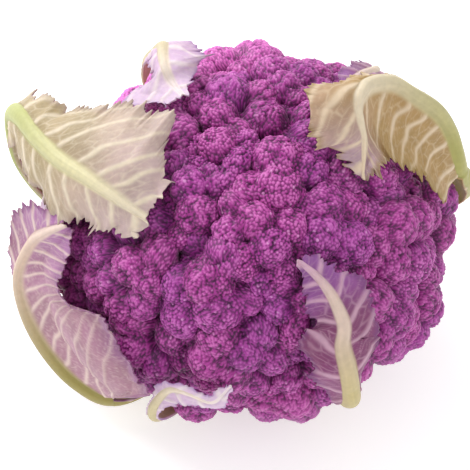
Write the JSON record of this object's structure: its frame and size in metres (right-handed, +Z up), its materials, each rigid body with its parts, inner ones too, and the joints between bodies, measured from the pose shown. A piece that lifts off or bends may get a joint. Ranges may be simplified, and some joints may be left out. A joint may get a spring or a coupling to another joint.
{
  "type": "purple cauliflower",
  "caption": "Head of purple cauliflower with a domed, beaded curd of separate florets wrapped in pale ribbed leaves, standing on its flat cut stem",
  "frame": {"origin": "centre of the flat cut face of the stem, which the head stands on", "axes": "+Z up from the cut face; -Y is the front, towards which the curd leans; +X is to the right seen from the front"},
  "size_m": [0.1961, 0.1617, 0.1409],
  "materials": {
    "floret": "magenta-purple beaded curd, matte with a faint waxy sheen",
    "stem": "pale cream-green flesh",
    "leaf_cream": "cream leaf with raised pale veins and a yellow-green midrib",
    "leaf_lilac": "lilac leaf with raised white veins",
    "leaf_violet": "violet leaf, darker at the toothed margins",
    "leaf_base": "pale yellow-green leaf stalk, cut off"
  },
  "bodies": {
    "root": {"stem": "stem", "floret_01": "floret", "floret_02": "floret", "floret_03": "floret", "floret_04": "floret", "floret_05": "floret", "floret_06": "floret", "floret_07": "floret", "floret_08": "floret", "floret_09": "floret", "floret_10": "floret", "floret_11": "floret", "floret_12": "floret", "floret_13": "floret", "floret_14": "floret", "floret_15": "floret", "floret_16": "floret", "floret_17": "floret", "floret_18": "floret", "floret_19": "floret", "floret_20": "floret", "floret_21": "floret", "floret_22": "floret", "floret_23": "floret", "floret_24": "floret", "floret_25": "floret", "floret_26": "floret", "floret_27": "floret", "floret_28": "floret", "floret_29": "floret", "floret_30": "floret", "floret_31": "floret", "floret_32": "floret", "leaf_back_left": "leaf_cream", "leaf_back": "leaf_lilac", "leaf_right": "leaf_cream", "leaf_left": "leaf_lilac", "leaf_front_right": "leaf_violet", "leaf_front_left": "leaf_lilac", "leaf_left_inner": "leaf_lilac", "leaf_back_right": "leaf_violet", "cut_leaf_base_1": "leaf_base", "cut_leaf_base_2": "leaf_base", "cut_leaf_base_3": "leaf_base", "cut_leaf_base_4": "leaf_base"}
  },
  "joints": []
}
